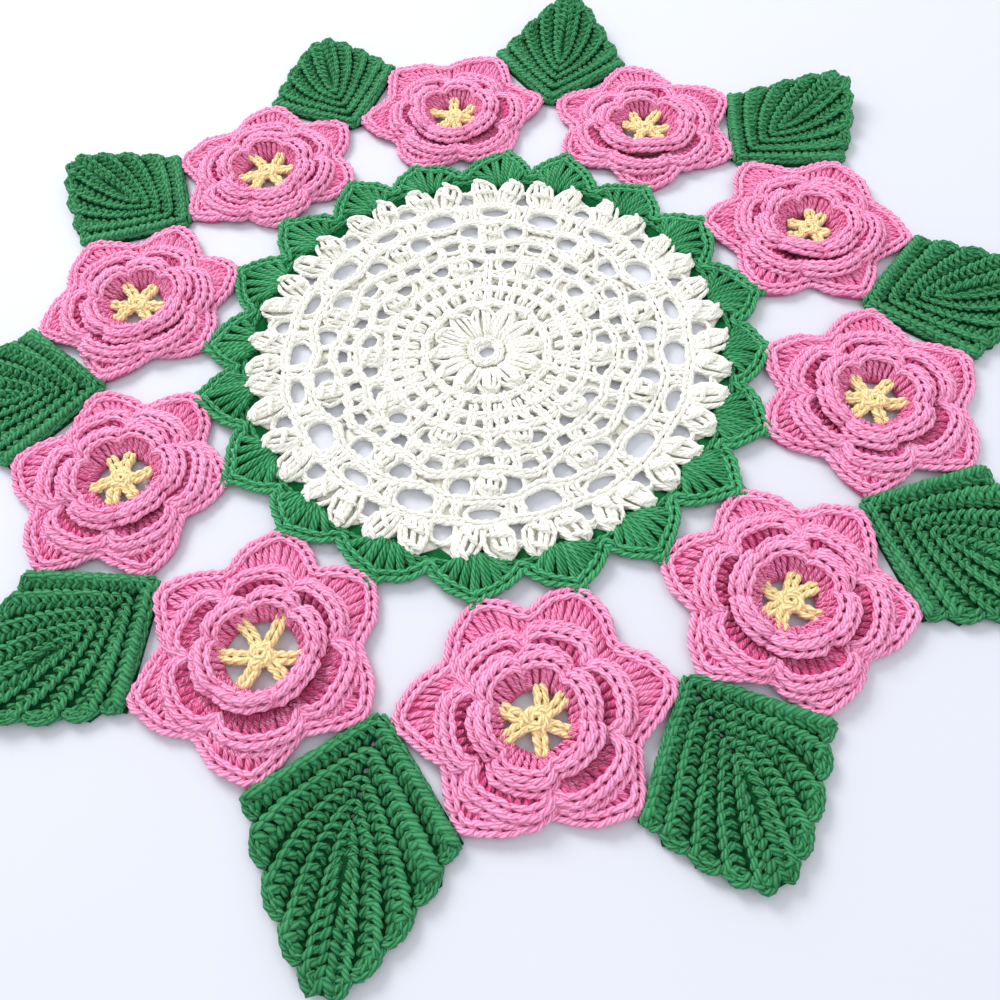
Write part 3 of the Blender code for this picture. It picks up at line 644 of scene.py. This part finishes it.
def leaf_place(leaf, along, across, height=0.0):
    """Points of a leaf by their distance along it from its inner corner and to the left of its middle."""
    along, across, height = np.broadcast_arrays(along, across, height)
    beyond = np.clip((along - CORNER_ALONG) / (leaf["length"] - CORNER_ALONG), 0, None)
    outwards, left = around_circle(leaf["angle"]), around_circle(leaf["angle"] + 90)
    flat = outwards * (leaf["vertex"] + along)[..., None] + left * (across + leaf["lean"] * beyond)[..., None]
    return flat + (0, 0, 1) * (height + leaf["curl"] * leaf["kept"] * beyond**2)[..., None]


def leaf_lift(leaf, points):
    """How far the CAD lifts a leaf at these points."""
    along = points @ around_circle(leaf["angle"]) - leaf["vertex"]
    return leaf["curl"] * np.clip((along - CORNER_ALONG) / (leaf["length"] - CORNER_ALONG), 0, None) ** 2


def rib_arms(leaf, place, height):
    """The right and the left arm of the row at this place among the ribs, each from the fold outwards."""
    index = np.arange(len(RIBS["fold"]))
    fold, beyond, share, round_off = (np.interp(place, index, values) for values in RIBS.values())
    if place < 0:  # beyond the first rib the rows go on as evenly as before it
        fold += place * (RIBS["fold"][1] - RIBS["fold"][0])
        share += 0.06 * -place
    length = leaf["length"]
    t = np.linspace(0, 1, ARM_STEPS)[:, None]
    for side, half in ((-1, leaf["right"]), (1, leaf["left"])):
        start = np.array((fold * length, 0.0))
        finish = np.array((CORNER_ALONG + beyond * (length - CORNER_ALONG), share * half))
        corner = np.array((start[0] + 0.1 * length, finish[1] * 1.05))
        bend = (start + finish) / 2 * (1 - round_off) + corner * round_off
        arm = start * (1 - t) ** 2 + bend * 2 * t * (1 - t) + finish * t**2
        yield side, Rail(leaf_place(leaf, arm[:, 0], side * arm[:, 1], height))


def knots(yarn, rail, slant, length=2.6, radius=0.85, painted_shade=0.2, start=0.0, end=None):
    """A row of short slanting stitches along a rail, darkened a little by painted shade unless given another
    amount.
    """
    end = rail.length if end is None else end
    count = max(1, round((end - start) / KNOT_PITCH))
    step = (end - start) / count
    middle = start + step * (np.arange(count) + 0.5 + jitter(count, 0.08))[:, None]
    turn = np.radians(slant + jitter((count, 1), 9))
    share = np.array((-0.5, -0.22, 0.1, 0.36, 0.5))
    up = np.array((-0.75, 0.15, 0.35, 0.1, -0.75)) * radius + jitter((count, 1), 0.12)
    size = (0.92 + END_GROWTH * middle / rail.length) * (1 + jitter((count, 1), 0.12))
    reach = share * length * size
    yarn.lay(rail.at(middle + reach * np.cos(turn), reach * np.sin(turn), up), radius * size, painted_shade)


def pressed(node, name, material, share, leaf=None):
    """The cloth under a motif: its CAD solid, pressed to this share of its height above its lift."""
    points = np.array([vertex.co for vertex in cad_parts[node].data.vertices]) / METRES - MIDDLE
    faces = [list(face.vertices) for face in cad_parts[node].data.polygons]
    lifted, kept = (leaf_lift(leaf, points), leaf["kept"]) if leaf else (0.0, 1.0)
    points[:, 2] = lifted * kept + (points[:, 2] - lifted) * share
    piece = new_piece(name, points + MIDDLE, faces, material)
    shape = bmesh.new()
    shape.from_mesh(piece.data)
    bmesh.ops.remove_doubles(shape, verts=shape.verts, dist=WELD * METRES)
    shape.to_mesh(piece.data)
    shape.free()
    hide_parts(node)
    return piece


def add_leaf(number):
    leaf = LEAVES[number]
    name = f"leaf_{number + 1:02d}"
    yarn = Yarn()
    gaps = []
    for rib, room in enumerate(np.diff(RIBS["fold"]) * leaf["length"]):
        tight = np.clip(room / RIB_ROOM, 0.78, 1.05)
        for row in RIB_ROWS:
            for side, rail in rib_arms(leaf, rib + row["place"], row["height"] * tight):
                length, radius = row["length"] * tight, row["radius"] * tight
                slant, end = side * row["slant"], rail.length - ARM_END
                knots(yarn, rail, slant, length, radius, row["painted_shade"], row["start"], end)
        for arms in zip(*(rib_arms(leaf, rib + place, EDGE_HEIGHT) for place in LOBE["places"])):
            lobe = [rail.at(rail.length - setback) for (_, rail), setback in zip(arms, LOBE["setbacks"])]
            # painted shade: a little on the lobes at the ends of the ribs
            chain(yarn, Rail(np.array(lobe)), pitch=2.5, width=2.8, radius=0.85, painted_shade=0.1)
        gap = RIBS["fold"][rib] * leaf["length"] + GAP_PLACE * room
        corners = around_circle(60 * np.arange(6), FOLD_GAP * tight)
        gaps.append(leaf_place(leaf, gap + corners[:, 0], corners[:, 1]))
    for _, rail in rib_arms(leaf, LEAF_EDGE, EDGE_HEIGHT):
        chain(yarn, rail, pitch=2.8, width=3.0, radius=0.8)
    for across in (-1.5, 1.5):
        spine = np.linspace(0.54, 0.98, 9) * leaf["length"]
        knots(yarn, Rail(leaf_place(leaf, spine, across * np.linspace(1.2, 0.5, 9), 2.0)), slant=25 * across)
    stitches = yarn.piece(f"{name}.yarn", LEAF_GREEN, "leaf_green")
    base = pressed(name, f"{name}.cloth", LEAF_CLOTH, CLOTH_SHARE, leaf)
    pierce(base, gaps)


# ---------------------------------------------------------------- edging


SHELL_POSTS = 7
SHELL_SPAN = 0.86  # share of the way from the middle of a shell to its sides that its posts take up
FEET_SPREAD, HEADS_SPREAD = 0.42, 0.9  # shares of that at the feet and at the heads of the posts
SHELL_FOOT = 73.2  # radius where the middle post of a shell starts
SHELL_FOOT_BOW = 2.4  # and how much further out posts start at its sides
SHELL_ALONG = np.array((0, 0.12, 0.45, 0.8, 1.0))
SHELL_BULGE = np.array((-0.4, 0.7, 1.3, 0.9, 0.1))
SHELL_ROUND = 1.8  # how far the sides of a shell are rounded outwards
SHELL_POINT = 1.4  # how far its tip stands out
SHELL_POINT_WIDTH = 0.12
EDGING_CLOTH_SHARE = 0.6  # of its solid's height that the cloth under the edging's yarn keeps


def turn_between(start, end):
    """The shorter turn from one angle to another, counter-clockwise if it is more than 0."""
    return (end - start + 180) % 360 - 180


def add_edging():
    angles = np.arange(0, 360, 0.5)
    tips = np.array([spoke["shell"] for spoke in SPOKES])
    place = np.interp(angles, np.concatenate([tips - 360, tips, tips + 360]), np.arange(3 * len(tips)))
    off_tip = 2 * np.abs(place - np.round(place))
    reach = node_outline("edging", np.zeros(3), angles)
    point = SHELL_POINT * np.exp(-((off_tip / SHELL_POINT_WIDTH) ** 2))
    reach = reach + SHELL_ROUND * np.sin(np.pi * off_tip) + point
    yarn = Yarn()
    for number, spoke in enumerate(SPOKES):
        tip = spoke["shell"]
        before, after = (SPOKES[(number + step) % len(SPOKES)]["shell"] for step in (-1, 1))
        back, ahead = turn_between(tip, before) / 2, turn_between(tip, after) / 2
        for share in np.linspace(-SHELL_SPAN, SHELL_SPAN, SHELL_POSTS):
            turn = share * (ahead if share > 0 else -back)
            edge = np.interp((tip + turn * HEADS_SPREAD) % 360, angles, reach, period=360) - 2.0
            start = SHELL_FOOT + SHELL_FOOT_BOW * share**2 + jitter((), 0.3)
            foot = around_circle(tip + turn * FEET_SPREAD, start, 2.0)
            head = around_circle(tip + turn * (HEADS_SPREAD + jitter((), 0.04)), edge, 1.5)
            bulge = SHELL_BULGE[:, None] * (0, 0, 1 + jitter((), 0.2))
            for side in (-0.55, 0.55):
                apart = around_circle(tip + 90, side) + jitter(3, 0.15)
                path = foot + (head - foot) * SHELL_ALONG[:, None] + bulge + apart
                radius = 0.82 + jitter((), 0.1)
                # painted shade: one strand of each post darker than the other, as its shaded side
                strand(yarn, path, radius, 0.15 + 0.3 * (side > 0) + jitter((), 0.1), taper=0.7)
    rim = soften(reach, 1) - 1.7 + wobble(len(angles), 0.2)
    chain(yarn, Rail(around_circle(angles, rim, 1.7), closed=True), pitch=2.9, width=4.0, radius=0.88, lift=0.2)
    # painted shade: the inner chain is darker, where it lies low between the medallion and the shells
    inside = Rail(around_circle(angles, 77.4, 1.2), closed=True)
    chain(yarn, inside, pitch=2.8, width=4.2, radius=0.84, painted_shade=0.3)
    for spoke in SPOKES:
        tip = np.interp(spoke["shell"] % 360, angles, reach, period=360)
        picot = around_circle(spoke["shell"], tip - 0.6, 1.5) + around_circle(45 * np.arange(8), 1.3)
        chain(yarn, Rail(picot, closed=True), pitch=2.0, width=1.8, radius=0.7)
    stitches = yarn.piece("edging.yarn", GREEN, "edging_green")
    base = pressed("edging", "edging.cloth", GREEN_CLOTH, EDGING_CLOTH_SHARE)
    return [stitches, base]


# ---------------------------------------------------------------- medallion

# Rounds of chain: radius at an inner spoke, half way between spokes and at an outer spoke
ROUNDS = [
    dict(inner=4.6, between=4.6, outer=4.6, width=2.6),
    dict(inner=19.2, between=19.2, outer=19.6, width=2.8),
    dict(inner=25.6, between=26.2, outer=25.8, width=2.8),
    dict(inner=30.6, between=31.8, outer=32.0, width=2.8),
    dict(inner=40.0, between=40.9, outer=38.4, width=3.2),
    dict(inner=49.4, between=46.8, outer=45.2, width=3.2),
    dict(inner=53.0, between=56.2, outer=56.2, width=3.2),
    dict(inner=63.8, between=62.8, outer=64.2, width=3.2),
]
# Posts between two rounds: at which shares of the way between spokes, and from and to which radius
POSTS = [
    dict(shares=(0.0,), start=17.6, end=26.0),
    dict(shares=(0.5,), start=21.6, end=31.4),
    dict(shares=(0.0,), start=26.6, end=39.2),
    dict(shares=(0.27, 0.73), start=40.6, end=46.2),
    dict(shares=(0.40, 0.60), start=56.4, end=63.2),
]
# Small gaps between the stitches: at which share of the way between spokes, how far out and how wide
SMALL_GAPS = [
    dict(share=0.25, radius=22.5, size=1.5),
    dict(share=0.75, radius=22.5, size=1.3),
    dict(share=0.26, radius=28.8, size=1.7),
    dict(share=0.74, radius=28.6, size=1.5),
    dict(share=0.5, radius=44.0, size=1.6),
    dict(share=0.0, radius=51.2, size=1.3),
]
CENTRE_PUFFS = 12
LARGEST_HOLE = 30.0  # across: a longer line is the outline
HOLE_GROWTH = 0.9  # how far the stitches leave a hole wider than in the CAD
RIM_GROWTH = 0.9  # and how much further those do between the feet of the outer clusters,
RIM_HOLES = 62.0  # which lie further out than this
HOLE_MARGIN = 0.4  # from the edge of a hole to the middle of the strand round it
CUT_REACH = 20.0  # of a cutter, up and down
PAIRS_FROM = 55.0  # further out than this the spokes run through the pairs of clusters
# From and to which radius: the puffs in the middle, the clusters at inner and outer spokes, and the pairs
MIDDLE_PUFFS, INNER_CLUSTERS, OUTER_CLUSTERS, PAIRS = (6.0, 18.2), (30.4, 39.2), (46.0, 55.0), (63.4, 76.4)
LACE_HEIGHT, PUFF_HEIGHT = 1.6, 1.4
# The corners of the wedge cut between two puffs in the middle, and of those cut at the rim
WEDGE = dict(turns=np.array((0.3, -4.2, 4.2)), radii=np.array((13.0, 17.4, 17.4)))
RIM_WEDGE_RADII = np.array((67.0, 80.0, 80.0))


def pair_angle(spoke):
    return spoke["cluster"] + turn_between(spoke["cluster"], spoke["shell"]) / 2


def lace_place(angle, radius, height=0.0):
    """A point of the lace, whose inner rounds lie a little off the middle of its rim."""
    radius = np.asarray(radius, float)
    return around_circle(angle, radius, height) + LACE_SHIFT * (1 - radius / RIM_RADIUS)[..., None]


def spoke_angles(radius, share=0.0):
    """The angle at this share of the way from each spoke to the next one, at this radius."""
    ends = [pair_angle(spoke) if radius > PAIRS_FROM else spoke["cluster"] for spoke in SPOKES]
    return np.array([a + ((b - a) % 360) * share for a, b in zip(ends, ends[1:] + ends[:1])])


def round_rail(row):
    """A round of chain that bends in and out at the spokes."""
    angles = np.concatenate([spoke_angles(row["between"], share) for share in (0.0, 0.5)])
    count = len(SPOKES)
    radii = np.array([row["inner"], row["outer"]] * (count // 2) + [row["between"]] * count)
    angles = (angles + 360) % 360
    order = np.argsort(angles)
    every = np.arange(0, 360, 1.0)
    radius = soften(np.interp(every, angles[order], radii[order], period=360), 3)
    radius = radius + wobble(len(every), 0.45, 4)
    return Rail(lace_place(every, radius, LACE_HEIGHT + wobble(len(every), 0.25, 4)), closed=True)


def pierce(piece, loops):
    """Cut straight through a piece inside each of these lines, which run counter-clockwise."""
    points, faces = [], []
    for loop in loops:
        first, count = len(points), len(loop)
        points += [place * (1, 1, 0) + (0, 0, height) for height in (-CUT_REACH, CUT_REACH) for place in loop]
        near = np.arange(count)
        ahead = np.roll(near, -1)
        faces += (np.stack([near, ahead, ahead + count, near + count], -1) + first).tolist()
        faces += [(near[::-1] + first).tolist(), (near + count + first).tolist()]
    mesh = bpy.data.meshes.new("cutters")
    mesh.from_pydata((np.array(points) + MIDDLE) * METRES, [], faces)
    cutter = new_object("cutters", mesh)
    modifier = piece.modifiers.new("gaps", "BOOLEAN")
    modifier.operation, modifier.solver, modifier.object = "DIFFERENCE", "EXACT", cutter
    modifier.use_self = True  # some of the gaps run into each other
    pierced = bpy.data.meshes.new_from_object(piece.evaluated_get(bpy.context.evaluated_depsgraph_get()))
    piece.modifiers.clear()
    piece.data = pierced
    bpy.data.objects.remove(cutter)


def hole_loops(node):
    """The holes in a CAD node's flat underside, each as points counter-clockwise round it."""
    shape = bmesh.new()
    shape.from_mesh(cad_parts[node].data)
    bmesh.ops.remove_doubles(shape, verts=shape.verts, dist=WELD * METRES)
    bmesh.ops.delete(shape, geom=[v for v in shape.verts if v.co.z > WELD * METRES], context="VERTS")
    left = {vertex: True for vertex in shape.verts if vertex.is_boundary}
    loops = []
    while left:
        loop, ahead = [], [next(iter(left))]
        while ahead:
            loop.append(ahead[0])
            del left[ahead[0]]
            ahead = [edge.other_vert(loop[-1]) for edge in loop[-1].link_edges if edge.is_boundary]
            ahead = [vertex for vertex in ahead if vertex in left]
        points = np.array([vertex.co for vertex in loop]) / METRES - MIDDLE
        after = np.roll(points, -1, 0)
        turning = (points[:, 0] * after[:, 1] - after[:, 0] * points[:, 1]).sum()
        if np.ptp(points[:, 0]) < LARGEST_HOLE:
            loops.append(points if turning > 0 else points[::-1])
    shape.free()
    return loops


def grown(loop, margin, uneven=0.0):
    """A finer line round a hole, this far outside it."""
    finer = loop[:, None] + (np.roll(loop, -1, 0) - loop)[:, None] * np.array((0.25, 0.75))[:, None]
    finer = finer.reshape(-1, 3)
    middle = finer.mean(0)
    across = np.linalg.norm(finer - middle, axis=1).mean()
    return middle + (finer - middle) * (1 + (margin + wobble(len(finer), uneven, 1)[:, None]) / across)


def rim_notches():
    """The wedges between the heads of the clusters, in each pair and from one pair to the next."""
    for share, half in ((0.0, 2.0), (0.5, 1.5)):
        for angle in spoke_angles(RIM_RADIUS, share):
            turn = np.array((0, -1, 1)) * np.degrees(half / RIM_RADIUS)
            yield lace_place(angle + turn, RIM_WEDGE_RADII)


def add_medallion():
    yarn, bundles = Yarn(), Yarn()
    for row in ROUNDS:
        chain(yarn, round_rail(row), pitch=2.8, width=row["width"], radius=0.8)
    cuts = []
    for loop in hole_loops("medallion"):
        far = np.linalg.norm(loop.mean(0)) > RIM_HOLES
        growth = HOLE_GROWTH + RIM_GROWTH * far
        cuts.append(grown(loop, growth))
        # painted shade: the strands round each hole are a little darker
        for height, size in ((1.1, 0.85), (1.7, 0.75)):
            ring = grown(loop, growth + HOLE_MARGIN, 0.5) + jitter(3, 0.3) * (1, 1, 0) + (0, 0, height)
            strand(yarn, np.concatenate([ring, ring[:1]]), size, 0.1, taper=1.0)
    for row in POSTS:
        for share in row["shares"]:
            for angle in spoke_angles((row["start"] + row["end"]) / 2, share):
                radii = np.linspace(row["start"], row["end"], 5)
                turn = angle + np.degrees(jitter(5, 0.5) / radii)
                chain(yarn, Rail(lace_place(turn, radii, LACE_HEIGHT)), pitch=2.6, width=2.8, radius=0.8)
    start, end = MIDDLE_PUFFS
    for angle in 360 * np.arange(CENTRE_PUFFS) / CENTRE_PUFFS:
        foot = lace_place(angle, start, PUFF_HEIGHT)
        head = lace_place(angle + jitter((), 3), end + jitter((), 0.7), PUFF_HEIGHT)
        puff(bundles, foot, head, width=6.8, rise=1.6, strands=5, radius=0.8, ties=(0.82,))
    for number, spoke in enumerate(SPOKES):
        start, end = OUTER_CLUSTERS if number % 2 else INNER_CLUSTERS
        angle = spoke["cluster"] + jitter((), 0.6)
        foot, head = lace_place(angle, start, PUFF_HEIGHT), lace_place(angle, end, 1.5)
        puff(bundles, foot, head, width=7.6, rise=1.8, strands=5, radius=0.86, ties=(0.35, 0.75))
        middle = pair_angle(spoke)
        start, end = PAIRS
        for side in (-1, 1):
            foot = lace_place(middle + side * 2.2, start + jitter((), 0.5), PUFF_HEIGHT)
            turn = side * (CLUSTER_SPREAD + jitter((), 0.4))
            head = lace_place(middle + turn, end + jitter((), 0.5), PUFF_HEIGHT)
            puff(bundles, foot, head, width=7.8, rise=1.8, strands=5, radius=0.88, ties=(0.4, 0.8))
    stitches = yarn.piece("medallion.yarn", WHITE, "white_cotton")
    clusters = bundles.piece("medallion.clusters", WHITE, "white_cotton")
    base = pressed("medallion", "medallion.cloth", WHITE_CLOTH, CLOTH_SHARE)
    cuts += rim_notches()
    for angle in 360 * (np.arange(CENTRE_PUFFS) + 0.5) / CENTRE_PUFFS:
        cuts.append(lace_place(angle + WEDGE["turns"], WEDGE["radii"]))
    for gap in SMALL_GAPS:
        for angle in spoke_angles(gap["radius"], gap["share"]):
            corners = around_circle(60 * np.arange(6) + jitter(6, 20), gap["size"] + jitter(6, 0.3))
            cuts.append(lace_place(angle, gap["radius"]) + corners)
    pierce(base, cuts)
    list(add_edging())


# ---------------------------------------------------------------- camera, light and floor


# In metres and degrees: down is how far the camera looks down from level
CAMERA = dict(target=(0.00072, -0.05283, 0.0), distance=0.26242, down=59.12, roll=-4.49)
LENS, SENSOR = 33.11, 36.0  # mm
FLOOR_HALF, FLOOR_HEIGHT = 3.0, -0.0002  # metres


def add_camera():
    data = bpy.data.cameras.new("camera")
    data.lens, data.sensor_width, data.sensor_fit = LENS, SENSOR, "HORIZONTAL"
    camera = new_object("camera", data)
    tilt = Matrix.Rotation(math.radians(90 - CAMERA["down"]), 4, "X")
    turn = tilt @ Matrix.Rotation(math.radians(CAMERA["roll"]), 4, "Z")
    back = Matrix.Translation((0, 0, CAMERA["distance"]))
    camera.matrix_world = Matrix.Translation(CAMERA["target"]) @ turn @ back
    data.clip_start = 0.01
    bpy.context.scene.camera = camera


def add_light(name, place, size, power):
    """A round light that shines at the middle of the doily."""
    data = bpy.data.lights.new(name, "AREA")
    data.shape, data.size, data.energy = "DISK", size, power
    light = new_object(name, data)
    light.location = place
    light.rotation_euler = (-Vector(place)).to_track_quat("-Z", "Y").to_euler()


def add_floor():
    mesh = bpy.data.meshes.new("floor")
    sides = ((-1, -1), (1, -1), (1, 1), (-1, 1))
    mesh.from_pydata([(x * FLOOR_HALF, y * FLOOR_HALF, FLOOR_HEIGHT) for x, y in sides], [], [(0, 1, 2, 3)])
    floor = new_object("floor", mesh)
    material, _, shader = new_material("floor", 0.7)
    shader.inputs["Base Color"].default_value = linear(210, 212, 221)
    mesh.materials.append(material)


def add_world():
    world = bpy.data.worlds.new("studio")
    world.use_nodes = True
    sky = world.node_tree.nodes["Background"].inputs
    sky["Color"].default_value = (0.95, 0.97, 1.0, 1)
    sky["Strength"].default_value = 0.9
    bpy.context.scene.world = world


for number in range(len(ROSES)):
    add_rose(number)
    add_leaf(number)
add_medallion()
add_camera()
add_light("window", place=(-0.65, 0.85, 0.85), size=0.7, power=15.0)
add_light("fill", place=(0.8, -0.5, 1.2), size=1.2, power=3.0)
add_floor()
add_world()
bpy.context.scene.view_settings.view_transform = "Standard"
